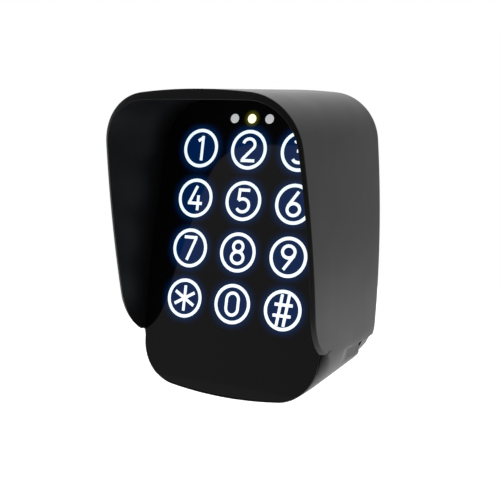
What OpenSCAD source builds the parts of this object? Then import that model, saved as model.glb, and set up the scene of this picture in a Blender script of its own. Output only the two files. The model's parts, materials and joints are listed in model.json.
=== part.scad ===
// Hooded backlit touch keypad for access control, hooked on a wall bracket.
// Frame: the wall is the plane y = 0, the keypad looks towards -Y, +Z is up.
// The origin is at the middle of the wall face.

/* [Housing] */
// Width at the widest level
housing_w = 70.4; // [64:0.2:84]
// Height over the arched top and bottom
housing_h = 98.5; // [94:0.5:118]
// Depth from the wall to the lip of the hood at mid height
housing_d = 61; // [56:0.5:73]
// Height of the widest level
widest_z = -3.5; // [-8:0.5:4]
// Radius of the four corners
corner_r = 17.2; // [14:0.1:20]
// Radius of the bowed sides
side_r = 447; // [300:1:600]
// Radius of the arched top
top_r = 178; // [140:1:400]
// Radius of the arched bottom
bottom_r = 147; // [120:1:400]
// Wall thickness of the housing and the hood
wall = 1.9; // [1.5:0.1:2.6]
// Extra wall over the middle of the hood
hood_top_extra = 1.25; // [0.4:0.05:2]
// Gap between the wall and the rear edge of the housing
rear_gap = 2; // [1.8:0.1:3]
// Thickness of the front frame under the touch panel
frame_t = 2; // [1.5:0.1:3]

/* [Hood] */
// Lean of the hood's front edge, top forwards
hood_lean = 8.3; // [4:0.1:10]
// Radius where the hood's edge runs down into the body
hood_foot_r = 24; // [16:1:30]
// Height of the end of the hood's edge at the panel
hood_foot_z = -31.5; // [-34:0.5:-28]

/* [Keys] */
// Tilt of the touch panel, bottom forwards
tilt = 13.3; // [8:0.1:16]
// Height of the middle of the key grid
grid_z = 5.1; // [2:0.1:8]
// Depth of the middle of the key grid from the wall
grid_d = 38.1; // [37:0.1:44]
// Pitch of the key columns
key_pitch_x = 18.2; // [16:0.1:19]
// Pitch of the key rows
key_pitch_s = 16.9; // [15:0.1:17.5]
// Middle radius of a key's light ring
ring_r = 6; // [5:0.1:6.8]
// Width of a key's light ring
ring_w = 1.1; // [0.8:0.1:1.6]
// Distance of the indicator row above the grid's middle, along the panel
indicator_s = 35.6; // [34:0.1:37]
// Pitch of the indicators
indicator_pitch = 6.4; // [5:0.1:8]
// Diameter of an indicator lens
indicator_d = 3.1; // [2:0.1:4]

/* [Touch panel] */
// Thickness of the touch panel
panel_t = 2; // [1.5:0.1:3]
// Thickness of the bonding gasket
gasket_t = 0.8; // [0.5:0.1:1.2]
// Thickness of the sensor film
film_t = 0.3; // [0.2:0.05:0.4]
// Height of the chin facet along the panel
chin_h = 4; // [2:0.1:6]
// Slope of the chin facet
chin_angle = 12; // [4:1:24]
// Radius of the panel's corners
panel_corner_r = 14.5; // [10:0.1:15]

/* [Boards] */
// Thickness of the circuit boards
board_t = 1.6; // [1:0.1:2]
// Depth of the light wells between the film and the touch board
well_depth = 4; // [3:0.1:5]
// Width of the touch board
touch_board_w = 51; // [49:0.5:52]
// Length of the touch board
touch_board_h = 74; // [72:0.5:76]
// Width of the main board
main_board_w = 50; // [44:0.5:52]
// Height of the main board
main_board_h = 32; // [30:0.5:34]
// Lower edge of the main board
main_board_z = 8; // [7:0.5:9]

/* [Batteries] */
// Diameter of a cell
cell_d = 10.5; // [10:0.1:10.8]
// Length of a cell without its nub
cell_l = 43.5; // [42:0.1:44]
// Pitch of the cells
cell_pitch = 11.3; // [11:0.1:11.8]
// Room for the spring at one end of a cell
cell_spring_l = 4; // [3:0.1:5]

/* [Wall bracket] */
// Thickness of the foam gasket on the wall
wall_gasket_t = 1; // [0.5:0.1:1.5]
// Thickness of the bracket's plate
plate_t = 2.5; // [2:0.1:3]
// Depth of the bracket's rim under the housing
rim_d = 7.5; // [6:0.1:8]
// Height where the rim comes out from under the housing
rim_z = -36; // [-38:0.5:-34]
// Horizontal pitch of the wall screws
screw_pitch_x = 40; // [30:1:44]
// Vertical pitch of the wall screws
screw_pitch_z = 60; // [50:1:64]
// Diameter of the wall screw holes
screw_hole_d = 4.5; // [4:0.1:5]

/* [Fits] */
// Gap between pieces that come apart
gap = 0.3; // [0.2:0.05:0.4]
// Parting gap seen round the bracket's rim
parting_gap = 0.4; // [0.3:0.05:0.6]
// Radial clearance of a pin or plunger in its bore
running = 0.05; // [0.03:0.01:0.1]

/* [Hidden] */
$fn = 48;
eps = 0.01;
far = 200;
arc_steps = 8;

// Housing outline in the x-z plane
half_w = housing_w / 2;
top_z = housing_h / 2;
bottom_z = -housing_h / 2;
housing_rear_y = -rear_gap;
lip_y = -housing_d;
grid_y = -grid_d;

// Where each layer under the touch panel starts, outwards from the panel's face
frame_face_w = -panel_t - gasket_t;
frame_back_w = frame_face_w - frame_t;
diffuser_face_w = -panel_t - film_t - 0.1;
board_face_w = diffuser_face_w - well_depth;
board_back_w = board_face_w - board_t;

// Wall bracket
bracket_rear_y = -wall_gasket_t;
bracket_front_y = bracket_rear_y - plate_t;
rim_front_y = bracket_rear_y - rim_d;
housing_low_rear_y = rim_front_y - parting_gap;
bracket_inset = wall + 3;
rim_inset = 1.2;
rim_wall = 2;

// Back cover and its screws
cover_t = 2;
cover_rear_y = housing_low_rear_y - 1.6;
cover_front_y = cover_rear_y - cover_t;
seal_t = 0.8;
seal_w = 1.8;
ledge_t = 1.6;
ledge_front_y = cover_front_y - seal_t - ledge_t;
cover_boss_r = 3.2;
cover_boss_inset = 5.9;
cover_boss_x = half_w - cover_boss_inset;
cover_boss_z = [top_z - 19, bottom_z + 17.5];
cover_screw_r = 1.25;
cover_screw_l = 8;
screw_slack = 0.25;

// Lock pocket at the bottom of the housing
shelf_t = 1.5;
lug_t = 2;
lug_w = 12;
lock_y = housing_low_rear_y - 4.5;
lock_boss_r = 4.2;
lock_boss_top_z = bottom_z + 6.25;
lug_z = lock_boss_top_z + 1.1;
shelf_z = lug_z + lug_t + 0.5;
lug_front_y = lock_y - 3.5;
lock_screw_r = 1.5;
lock_head_r = 2.7;
lock_head_t = 1.8;
lock_neck_t = 1.2;
lock_travel = 2.4;
lock_shank_l = 4.5;
lock_ring_t = 0.5;
lock_ring_z = lock_boss_top_z - lock_neck_t - lock_ring_t - lock_travel;

// Hinge hooks at the top of the bracket
hinge_pin_r = 1.4;
ear_t = 2;
ear_r = 2.4;
hinge_y = bracket_front_y - ear_r - gap;
hinge_z = top_z - 5.75;
hook_x = 14;
hook_w = 4;
hook_lip_t = 1.5;
pin_l = hook_w + 2 * ear_t + 2 * gap;

// Batteries lie across the body, one above the other
tray_wall = 1.2;
contact_t = 0.5;
nub_l = 0.8;
nub_d = 3.8;
tray_bottom_z = shelf_z + shelf_t + 0.3;
tray_h = 3 * cell_pitch + 2 * tray_wall;
tray_in_w = cell_l + nub_l + cell_spring_l + 2 * contact_t;
tray_w = tray_in_w + 2 * tray_wall;
cell_y = cover_front_y - 0.4 - cell_d / 2;
tray_front_y = cell_y - cell_d / 2 - 0.3 - tray_wall;
cell_z0 = tray_bottom_z + tray_wall + cell_pitch / 2;
lid_t = 1.2;

// Main board behind the upper half of the keys
standoff = 2;
main_rear_y = cover_front_y - standoff;
main_front_y = main_rear_y - board_t;
main_screw_x = main_board_w / 2 - 3;
main_screw_z = [main_board_z + 3.5, main_board_z + main_board_h - 3.5];

// Tamper switch
tamper_x = 12;
tamper_z = main_board_z + 12;
tamper_w = 7;
tamper_h = 4;
tamper_rear_y = main_rear_y + tamper_h;
tamper_neck = 0.8;
tamper_stem_r = 1.2;
tamper_flange_r = 1.65;
tamper_flange_t = 0.6;
tamper_tip_y = bracket_front_y - 3.5;

// ---------- outline functions ----------

// Points of an arc round centre c, first and last point included
function arc(c, r, a0, a1, n = arc_steps) =
    [for (i = [0:n]) c + r * [cos(a0 + (a1 - a0) * i / n), sin(a0 + (a1 - a0) * i / n)]];

function bearing(from, to) = atan2(to.y - from.y, to.x - from.x);

// The point at distance ra from a and rb from b, on the right-hand side
function meet(a, ra, b, rb) =
    let (d = norm(b - a), u = (b - a) / d, k = (ra * ra - rb * rb + d * d) / (2 * d),
         h = sqrt(max(0, ra * ra - k * k)), p = a + u * k, n = [-u.y, u.x])
    (p + n * h).x > (p - n * h).x ? p + n * h : p - n * h;

// Closed outline of four bowed edges joined by tangent corners. hw: half width,
// zt and zb: top and bottom, rs, rt, rb: bow radii, rc: corner radius, t: inset
function bowed(hw, zt, zb, rs, rt, rb, rc_top, rc_bottom, t = 0) =
    let (cs = [hw - rs, widest_z], ct = [0, zt - rt], cb = [0, zb + rb],
         kt = meet(cs, rs - rc_top, ct, rt - rc_top),
         kb = meet(cs, rs - rc_bottom, cb, rb - rc_bottom),
         half = concat(
             arc(cb, rb - t, -90, bearing(cb, kb)),
             arc(kb, rc_bottom - t, bearing(cb, kb), bearing(cs, kb)),
             arc(cs, rs - t, bearing(cs, kb), bearing(cs, kt)),
             arc(kt, rc_top - t, bearing(cs, kt), bearing(ct, kt)),
             arc(ct, rt - t, bearing(ct, kt), 90)),
         left = [for (i = [len(half) - 2:-1:1]) [-half[i].x, half[i].y]])
    distinct(concat(half, left));

// Leaves out points that repeat the one before
function distinct(p) = [for (i = [0:len(p) - 1]) if (norm(p[i] - p[(i + 1) % len(p)]) > 0.001) p[i]];

function housing_outline(t = 0) =
    bowed(half_w, top_z, bottom_z, side_r, top_r, bottom_r, corner_r, corner_r, t);

// The mouth of the hood, which the touch panel fills. drop lets it run out at the bottom
function mouth_outline(t = 0, drop = 0) =
    bowed(half_w - wall, top_z - wall - hood_top_extra, bottom_z - drop, side_r - wall,
          8 * top_r, bottom_r, panel_corner_r, panel_corner_r, t);

// ---------- placing ----------

// An x-z outline as a slab from y_front back to y_rear
module slab(y_front, y_rear) {
    translate([0, y_rear, 0]) rotate([90, 0, 0]) linear_extrude(y_rear - y_front) children();
}

// Local frame of the touch panel: x across, y up the panel, z out of its face
module on_panel(w = 0) {
    translate([0, grid_y, grid_z]) rotate([90 - tilt, 0, 0]) translate([0, 0, w]) children();
}

// A cylinder along y, from y_front back to y_rear
module rod_y(x, z, r, y_front, y_rear) {
    translate([x, y_rear, z]) rotate([90, 0, 0]) cylinder(r = r, h = y_rear - y_front);
}

// Everything behind the plane w of the touch panel, and everything in front of it
module behind_panel(w) {
    on_panel(w - far) translate([-far / 2, -far / 2, 0]) cube([far, far, far]);
}
module before_panel(w) {
    on_panel(w) translate([-far / 2, -far / 2, 0]) cube([far, far, far]);
}

// The part of a flat x-z shape that lies above z
module above(z) {
    intersection() {
        children();
        translate([-half_w, z]) square([housing_w, housing_h]);
    }
}

module rounded_rect(w, h, r) {
    translate([-w / 2 + r, -h / 2]) square([w - 2 * r, h]);
    translate([-w / 2, -h / 2 + r]) square([w, h - 2 * r]);
    for (x = [-1, 1], y = [-1, 1]) translate([x * (w / 2 - r), y * (h / 2 - r)]) circle(r);
}

module at_keys() {
    for (col = [-1:1], row = [-1.5:1.5])
        translate([col * key_pitch_x, row * key_pitch_s, 0]) children();
}

module at_indicators() {
    for (i = [-1:1]) translate([i * indicator_pitch, indicator_s, 0]) children();
}

// ---------- side profile of the housing, y against z ----------

function panel_y(z) = grid_y + (z - grid_z) * tan(tilt);
function lip_front_y(z) = lip_y - (z - grid_z) * tan(hood_lean);

// The hood's edge comes down its leaning line, then bends on an arc of hood_foot_r
// until it meets the touch panel's plane at hood_foot_z
foot_end = [panel_y(hood_foot_z), hood_foot_z];
lean_out = [cos(hood_lean), sin(hood_lean)];
foot_off = (foot_end - [lip_front_y(hood_foot_z), hood_foot_z]) * lean_out;
foot_turn = acos(1 - foot_off / hood_foot_r);
foot_start_z = hood_foot_z + foot_off * lean_out.y * -1 + hood_foot_r * sin(foot_turn) * lean_out.x;
foot_start = [lip_front_y(foot_start_z), foot_start_z];
foot_centre = foot_start + hood_foot_r * lean_out;
side_profile = concat(
    [[housing_rear_y, top_z + 1], [lip_front_y(top_z + 1), top_z + 1]],
    arc(foot_centre, hood_foot_r, 180 + hood_lean, 180 + hood_lean + foot_turn),
    [[panel_y(bottom_z - 1), bottom_z - 1], [housing_low_rear_y, bottom_z - 1],
     [housing_low_rear_y, rim_z], [housing_rear_y, rim_z]]);

// ---------- housing ----------

module front_housing() {
    color("#19191b") difference() {
        union() {
            housing_shell();
            intersection() {
                union() {
                    for (x = [-1, 1], z = cover_boss_z)
                        rod_y(x * cover_boss_x, z, cover_boss_r, lip_y, cover_front_y - seal_t);
                    housing_ledge();
                    housing_shelf();
                    lock_boss();
                }
                slab(lip_y, housing_low_rear_y) polygon(housing_outline(wall / 2));
                behind_panel(frame_face_w);
            }
            touch_board_bosses();
        }
        for (x = [-1, 1], z = cover_boss_z)
            rod_y(x * cover_boss_x, z, cover_screw_r, cover_front_y - cover_screw_l, cover_front_y + eps);
        lock_hole();
        touch_board_boss_holes();
    }
}

module housing_shell() {
    difference() {
        intersection() {
            slab(-2 * housing_d, housing_rear_y) polygon(housing_outline());
            rotate([90, 0, 90]) translate([0, 0, -half_w - 1])
                linear_extrude(housing_w + 2) polygon(side_profile);
        }
        intersection() {
            slab(-2 * housing_d, 0) polygon(mouth_outline(drop = 2));
            before_panel(frame_face_w);
        }
        intersection() {
            slab(-2 * housing_d, 1) polygon(housing_outline(wall));
            behind_panel(frame_back_w);
        }
        on_panel(frame_back_w - 1) linear_extrude(frame_t + 2) translate([0, window_s])
            rounded_rect(window_w, window_h, 2);
    }
}

// Window in the front frame for the diffuser
window_w = touch_board_w + 1;
window_h = touch_board_h + 1;
window_s = 3;

module at_cover_bosses() {
    for (x = [-1, 1], z = cover_boss_z) translate([x * cover_boss_x, z]) children();
}

// Ledge round the inside that carries the cover's seal
module housing_ledge() {
    slab(ledge_front_y, ledge_front_y + ledge_t) difference() {
        above(shelf_z) polygon(housing_outline(wall / 2));
        polygon(housing_outline(wall + seal_w));
    }
}

// Floor of the sealed space, above the lock pocket
module housing_shelf() {
    translate([-half_w, lip_y, shelf_z]) cube([housing_w, cover_front_y - seal_t - lip_y, shelf_t]);
}

module lock_boss() {
    translate([0, lock_y, bottom_z]) cylinder(r = lock_boss_r, h = lock_boss_top_z - bottom_z);
}

module lock_hole() {
    neck_z = lock_boss_top_z - lock_neck_t;
    translate([0, lock_y, neck_z - eps])
        cylinder(r = lock_screw_r + running, h = lock_neck_t + 2 * eps);
    translate([0, lock_y, bottom_z - 1])
        cylinder(r = lock_head_r + running, h = neck_z - bottom_z + 1);
}

// Bosses that carry the touch board, behind the front frame
boss_x = touch_board_w / 2 + 2.4;
boss_s = [-key_pitch_s, key_pitch_s];
tab_r = 2.6;
touch_screw_r = 1;
touch_screw_l = 5;

module at_touch_bosses() {
    for (x = [-1, 1], s = boss_s) translate([x * boss_x, s, 0]) children();
}

module touch_board_bosses() {
    on_panel(board_face_w) at_touch_bosses()
        cylinder(r = tab_r, h = frame_back_w - board_face_w + frame_t / 2);
}

module touch_board_boss_holes() {
    on_panel(board_back_w) at_touch_bosses()
        cylinder(r = touch_screw_r, h = touch_screw_l);
}

// ---------- touch panel stack ----------

module touch_panel() {
    color("#141416") difference() {
        intersection() {
            slab(-2 * housing_d, 0) intersection() {
                polygon(mouth_outline(panel_gap));
                polygon(housing_outline(panel_gap));
            }
            before_panel(-panel_t);
            behind_panel(0);
            chin_side();
        }
        on_panel(-window_depth) at_keys() key_ring(window_depth + 1);
        on_panel(-panel_t - 1) at_indicators() cylinder(d = indicator_d + 2 * running, h = panel_t + 2);
    }
}
window_depth = 0.4;
panel_gap = 0.1;

module key_ring(h) {
    difference() {
        cylinder(r = ring_r + ring_w / 2, h = h);
        translate([0, 0, -eps]) cylinder(r = ring_r - ring_w / 2, h = h + 2 * eps);
    }
}

// The half space behind the chin facet, which falls back from a level line
module chin_side() {
    chin_s = (bottom_z - grid_z) / cos(tilt) + chin_h;
    on_panel() translate([0, chin_s, 0]) rotate([chin_angle, 0, 0])
        translate([-far / 2, -far / 2, -far]) cube([far, far, far]);
}

module panel_gasket() {
    color("#202020") difference() {
        intersection() {
            slab(-2 * housing_d, 0) intersection() {
                polygon(mouth_outline(panel_gap + 0.5));
                polygon(housing_outline(panel_gap + 0.5));
            }
            before_panel(frame_face_w);
            behind_panel(-panel_t);
        }
        on_panel(frame_face_w - 1) linear_extrude(gasket_t + 2) translate([0, window_s])
            rounded_rect(window_w - 0.4, window_h - 0.4, 2);
    }
}

module touch_film() {
    color("#b8c4b0") on_panel(-panel_t - film_t) difference() {
        linear_extrude(film_t) translate([0, window_s])
            rounded_rect(window_w - 1, window_h - 1, 1.6);
        translate([0, 0, -1]) at_indicators() cylinder(d = indicator_d + 2 * running, h = film_t + 2);
    }
}

module key_windows() {
    color("#e8f2ff") on_panel(-window_depth) at_keys() key_ring(window_depth);
}

// White plate with a round light well under each key
well_r = 7.2;
module key_diffuser() {
    color("#f0f0ee") on_panel(board_face_w) difference() {
        linear_extrude(well_depth) translate([0, window_s])
            rounded_rect(touch_board_w - 1, touch_board_h - 1, 1.5);
        translate([0, 0, -eps]) at_keys() cylinder(r = well_r, h = well_depth - 0.8);
        translate([0, 0, -eps]) at_indicators()
            cylinder(d = indicator_d + 2 * running, h = well_depth + 1);
    }
}

module indicator_lens(i) {
    led_top_w = board_face_w + led_t + 0.2;
    on_panel(led_top_w) translate([i * indicator_pitch, indicator_s, 0])
        cylinder(d = indicator_d, h = -led_top_w);
}
module indicator_lens_left() { color("#e4e6e8") indicator_lens(-1); }
module indicator_lens_middle() { color("#fdfcc8") indicator_lens(0); }
module indicator_lens_right() { color("#e4e6e8") indicator_lens(1); }

module touch_board() {
    color("#1c5a38") on_panel(board_back_w) difference() {
        union() {
            linear_extrude(board_t) translate([0, window_s])
                rounded_rect(touch_board_w, touch_board_h, 1.5);
            at_touch_bosses() cylinder(r = tab_r, h = board_t);
        }
        translate([0, 0, -1]) at_touch_bosses() cylinder(r = touch_screw_r + 0.2, h = board_t + 2);
    }
}

led_t = 1.2;
led_w = 2;
module led() {
    linear_extrude(led_t) square([led_w, led_w], center = true);
}
module key_leds() { color("#f4f2d8") on_panel(board_face_w) at_keys() led(); }
module indicator_leds() { color("#f4f2d8") on_panel(board_face_w) at_indicators() led(); }

module touch_controller() {
    color("#222222") on_panel(board_back_w - 1) linear_extrude(1) translate([0, -20])
        square([9, 9], center = true);
}

coil_t = 0.8;
module reader_coil() {
    color("#b06a34") on_panel(board_back_w - coil_t) linear_extrude(coil_t)
        translate([0, -20]) difference() {
            rounded_rect(40, 26, 5);
            rounded_rect(34, 20, 3);
        }
}

// A pan-head screw with its head's underside at the origin, pointing along +z
module screw(r, l, head_r, head_t) {
    cylinder(r = r, h = l);
    translate([0, 0, -head_t]) difference() {
        cylinder(r = head_r, h = head_t);
        for (a = [0, 90]) rotate([0, 0, a])
            translate([-head_r * 0.7, -0.3, -eps]) cube([head_r * 1.4, 0.6, head_t / 2]);
    }
}

module touch_board_screws() {
    color("#b8babc") on_panel(board_back_w) at_touch_bosses()
        screw(touch_screw_r - 0.02, touch_screw_l - 0.3, 1.9, 1.3);
}

// ---------- main board ----------

module main_board() {
    color("#1c5a38") difference() {
        slab(main_front_y, main_rear_y) translate([-main_board_w / 2, main_board_z])
            square([main_board_w, main_board_h]);
        for (x = [-1, 1], z = main_screw_z)
            rod_y(x * main_screw_x, z, 1.2, main_front_y - 1, main_rear_y + 1);
    }
}

// A block on the front of the main board
module on_main_board(x, z, w, h, t) {
    translate([x - w / 2, main_front_y - t, z - h / 2]) cube([w, t, h]);
}

module processor() { color("#222222") on_main_board(-3, main_board_z + 16, 10, 10, 1.2); }
module radio_module() { color("#c2c4c6") on_main_board(9, main_board_z + 22, 14, 12, 2.4); }

// Spring-wire antenna that lies along the top of the main board
module radio_antenna() {
    color("#c89a50") translate([-17, main_front_y - 1.8, main_board_z + main_board_h - 2.6])
        rotate([0, 90, 0]) cylinder(r = 0.9, h = 34);
}

module buzzer() {
    color("#202022") difference() {
        rod_y(-16, main_board_z + 9, 6, main_front_y - 5.5, main_front_y);
        rod_y(-16, main_board_z + 9, 1, main_front_y - 6.5, main_front_y - 4.5);
    }
}

module main_board_screws() {
    color("#b8babc") for (x = [-1, 1], z = main_screw_z)
        translate([x * main_screw_x, main_front_y, z]) rotate([-90, 0, 0])
            screw(1, board_t + standoff + 1.2, 1.9, 1.3);
}

// Ribbon between the two boards, with a socket at each end
ribbon_w = 10;
ribbon_x = 13;
ribbon_t = 0.5;
socket_t = 2;
ribbon_z = main_board_z + 6;
module ribbon_socket_rear() {
    color("#e6e2d6") on_main_board(ribbon_x, ribbon_z, ribbon_w + 2, 4, socket_t);
}
ribbon_s = (ribbon_z - 4 - grid_z) / cos(tilt);
module ribbon_socket_front() {
    color("#e6e2d6") on_panel(board_back_w - socket_t) translate([ribbon_x, ribbon_s, 0])
        linear_extrude(socket_t) square([ribbon_w + 2, 4], center = true);
}
// The ribbon runs straight from the middle of one socket to the other
function panel_point(s, w) = [grid_y + s * sin(tilt) - w * cos(tilt), grid_z + s * cos(tilt) + w * sin(tilt)];
module ribbon_cable() {
    a = panel_point(ribbon_s, board_back_w - socket_t);
    b = [main_front_y - socket_t, ribbon_z];
    color("#9a9ca0") translate([ribbon_x - ribbon_w / 2, 0, 0]) rotate([90, 0, 90])
        linear_extrude(ribbon_w) intersection() {
            translate(a) rotate(bearing(a, b)) translate([-3, -ribbon_t / 2])
                square([norm(b - a) + 6, ribbon_t]);
            ribbon_room();
        }
}
// The space between the faces of the two sockets
module ribbon_room() {
    p = panel_point(ribbon_s + 6, board_back_w - socket_t);
    q = panel_point(ribbon_s - 6, board_back_w - socket_t);
    r = main_front_y - socket_t;
    polygon([p, q, [r, q.y], [r, p.y]]);
}

// ---------- tamper switch ----------

module tamper_switch() {
    color("#2c2c30") difference() {
        translate([tamper_x - tamper_w / 2, main_rear_y, tamper_z - tamper_w / 2])
            cube([tamper_w, tamper_h, tamper_w]);
        rod_y(tamper_x, tamper_z, tamper_flange_r + running, main_rear_y + 0.4,
              tamper_rear_y - tamper_neck);
        rod_y(tamper_x, tamper_z, tamper_stem_r + running, tamper_rear_y - tamper_neck - 1,
              tamper_rear_y + 1);
    }
}

flange_rear_y = tamper_rear_y - tamper_neck - 0.05;
flange_front_y = flange_rear_y - tamper_flange_t;
module tamper_plunger() {
    color("#c03a2c") union() {
        rod_y(tamper_x, tamper_z, tamper_flange_r, flange_front_y, flange_rear_y);
        rod_y(tamper_x, tamper_z, tamper_stem_r, flange_front_y, tamper_tip_y - 0.05);
    }
}

spring_wire = 0.2;
module tamper_spring() {
    spring_front_y = main_rear_y + 0.4;
    coil_r = tamper_flange_r - 2 * spring_wire;
    color("#c8cacc") translate([tamper_x, spring_front_y, tamper_z]) rotate([-90, 0, 0])
        wound_spring(flange_front_y - spring_front_y, coil_r, coil_r, spring_wire);
}

// ---------- back cover ----------

module back_cover() {
    color("#3a3a3c") difference() {
        union() {
            slab(cover_front_y, cover_rear_y) above(shelf_z) polygon(housing_outline(wall + gap));
            for (x = [-1, 1], z = main_screw_z)
                rod_y(x * main_screw_x, z, 2.4, main_rear_y, cover_front_y + eps);
            hinge_ears();
        }
        for (x = [-1, 1], z = cover_boss_z)
            rod_y(x * cover_boss_x, z, cover_screw_r + screw_slack, cover_front_y - 1, cover_rear_y + 1);
        for (x = [-1, 1], z = main_screw_z)
            rod_y(x * main_screw_x, z, 1.02, main_rear_y - 1, cover_rear_y - 0.6);
        translate([tamper_x - tamper_w / 2 - gap, cover_front_y - 1, tamper_z - tamper_w / 2 - gap])
            cube([tamper_w + 2 * gap, cover_t + 2, tamper_w + 2 * gap]);
        slab(cover_front_y - 1, cover_rear_y + 1) battery_mouth(0.2);
        hinge_bores();
    }
}

// Ears that carry the hinge pins, on both sides of each hook
module hinge_ears() {
    for (side = [-1, 1], i = [-1, 1]) {
        x = side * hook_x + i * (hook_w / 2 + gap + ear_t / 2) - ear_t / 2;
        translate([x, 0, 0]) rotate([90, 0, 90]) linear_extrude(ear_t) {
            translate([hinge_y, hinge_z]) circle(ear_r);
            translate([cover_rear_y - eps, hinge_z - ear_r]) square([hinge_y - cover_rear_y, 2 * ear_r]);
        }
    }
}

module hinge_bores() {
    for (side = [-1, 1]) translate([side * hook_x - pin_l, hinge_y, hinge_z]) rotate([0, 90, 0])
        cylinder(r = hinge_pin_r, h = 2 * pin_l);
}
module hinge_pins() {
    color("#c4c6c8") for (side = [-1, 1])
        translate([side * hook_x - pin_l / 2, hinge_y, hinge_z]) rotate([0, 90, 0])
            cylinder(r = hinge_pin_r, h = pin_l);
}

// Flat seal between the ledge and the cover, with an eyelet for each cover screw
module cover_seal() {
    color("#1a1a1a") slab(cover_front_y - seal_t, cover_front_y) difference() {
        above(shelf_z) polygon(housing_outline(wall + gap));
        difference() {
            above(shelf_z + shelf_t) polygon(housing_outline(wall + seal_w));
            at_cover_bosses() circle(cover_boss_r);
        }
        at_cover_bosses() circle(cover_screw_r + screw_slack);
    }
}

module cover_screws() {
    color("#b8babc") for (x = [-1, 1], z = cover_boss_z)
        translate([x * cover_boss_x, cover_rear_y, z]) rotate([90, 0, 0])
            screw(cover_screw_r - 0.02, cover_t + cover_screw_l - 0.5, 2.4, 1.4);
}

// ---------- batteries ----------

module battery_mouth(t = 0) {
    translate([-tray_w / 2 - t, tray_bottom_z - t]) square([tray_w + 2 * t, tray_h + 2 * t]);
}

module battery_tray() {
    color("#2e2e30") difference() {
        slab(tray_front_y, cover_rear_y - lid_t - 0.1) battery_mouth();
        slab(tray_front_y + tray_wall, cover_rear_y + 1)
            translate([-tray_in_w / 2, tray_bottom_z + tray_wall]) square([tray_in_w, 3 * cell_pitch]);
    }
}

// One cell along x, its nub towards side and its flat end on the spring
module battery(row, side) {
    flat_end = contact_t + cell_spring_l - tray_in_w / 2;
    translate([0, cell_y, cell_z0 + row * cell_pitch]) rotate([0, side * 90, 0]) {
        translate([0, 0, flat_end]) cylinder(d = cell_d, h = cell_l);
        translate([0, 0, flat_end + cell_l - eps]) cylinder(d = nub_d, h = nub_l + eps);
    }
}
module battery_upper() { color("#3f6f58") battery(2, 1); }
module battery_middle() { color("#3f6f58") battery(1, -1); }
module battery_lower() { color("#3f6f58") battery(0, 1); }

// A close-wound spring along z, drawn as touching turns that may narrow to a cone
module wound_spring(l, r0, r1, wire) {
    turns = ceil((l - 2 * wire) / (1.8 * wire)) + 1;
    for (i = [0:turns - 1])
        translate([0, 0, wire + i * (l - 2 * wire) / (turns - 1)])
            rotate_extrude($fn = 32) translate([r0 + (r1 - r0) * i / (turns - 1), 0])
                circle(wire, $fn = 16);
}

// Cone springs at the flat end of each cell
module battery_springs() {
    color("#c8cacc") for (row = [0:2]) {
        side = row == 1 ? -1 : 1;
        translate([-side * (tray_in_w / 2 - contact_t), cell_y, cell_z0 + row * cell_pitch])
            rotate([0, side * 90, 0]) wound_spring(cell_spring_l, 3.6, 2.2, 0.3);
    }
}

module battery_plates() {
    color("#d0d0cc") for (side = [-1, 1], row = [0:2])
        translate([side * (tray_in_w / 2 - contact_t / 2) - contact_t / 2, cell_y - 4,
                   cell_z0 + row * cell_pitch - 4.5])
            cube([contact_t, 8, 9]);
}

// Strips that take the power from the tray up to the main board
terminal_w = 3;
terminal_t = 0.4;
terminal_lap = 2.2;
terminal_x = main_screw_x - 5;
module battery_terminals() {
    tray_top_z = tray_bottom_z + tray_h;
    color("#d0d0cc") for (side = [-1, 1])
        translate([side * terminal_x - terminal_w / 2, main_front_y - terminal_t, tray_top_z])
            cube([terminal_w, terminal_t, main_board_z - tray_top_z + terminal_lap]);
}

module battery_lid() {
    color("#38383a") slab(cover_rear_y - lid_t, cover_rear_y) battery_mouth();
}

// ---------- lock screw ----------

module lock_screw() {
    color("#b8babc") translate([0, lock_y, lock_ring_z])
        screw(lock_screw_r, lock_shank_l, lock_head_r, lock_head_t);
}

// Retaining ring that rides up and down on the screw's head
module lock_ring() {
    color("#8c8e90") translate([0, lock_y, lock_ring_z]) difference() {
        cylinder(r = lock_head_r - 0.1, h = lock_ring_t);
        translate([0, 0, -eps]) cylinder(r = lock_screw_r + running, h = lock_ring_t + 2 * eps);
    }
}

// ---------- wall bracket ----------

module wall_bracket() {
    color("#454547") difference() {
        union() {
            slab(bracket_front_y, bracket_rear_y) bracket_face();
            bracket_rim();
            for (side = [-1, 1]) translate([side * hook_x - hook_w / 2, 0, 0]) hook();
            rod_y(tamper_x, tamper_z, 3, tamper_tip_y, bracket_front_y + eps);
            lug();
        }
        for (x = [-1, 1], z = [-1, 1])
            rod_y(x * screw_pitch_x / 2, z * screw_pitch_z / 2, screw_hole_d / 2,
                  bracket_front_y - 1, bracket_rear_y + 1);
        translate([0, lock_y, lug_z - 1]) cylinder(r = lock_screw_r + 0.2, h = lug_t + 2);
    }
}

// The low end of the bracket, which shows under the housing
module rim_outline() {
    difference() {
        polygon(housing_outline(rim_inset));
        above(rim_z - parting_gap) polygon(housing_outline());
    }
}

module bracket_face() {
    polygon(housing_outline(bracket_inset));
    rim_outline();
}

module bracket_rim() {
    slab(rim_front_y, bracket_rear_y) difference() {
        rim_outline();
        polygon(housing_outline(rim_inset + rim_wall));
    }
}

// Hook open to the top, with a round seat for the hinge pin
module hook() {
    seat_r = hinge_pin_r + running;
    lip_front = hinge_y - seat_r - hook_lip_t;
    rotate([90, 0, 90]) linear_extrude(hook_w) difference() {
        translate([lip_front, hinge_z - 4]) square([bracket_front_y - lip_front + eps, 5]);
        translate([hinge_y, hinge_z]) circle(seat_r);
        translate([hinge_y - seat_r, hinge_z]) square([2 * seat_r, 5]);
    }
}

// Tongue that the lock screw enters from below
module lug() {
    translate([-lug_w / 2, lug_front_y, lug_z])
        cube([lug_w, bracket_front_y - lug_front_y + eps, lug_t]);
}

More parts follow.
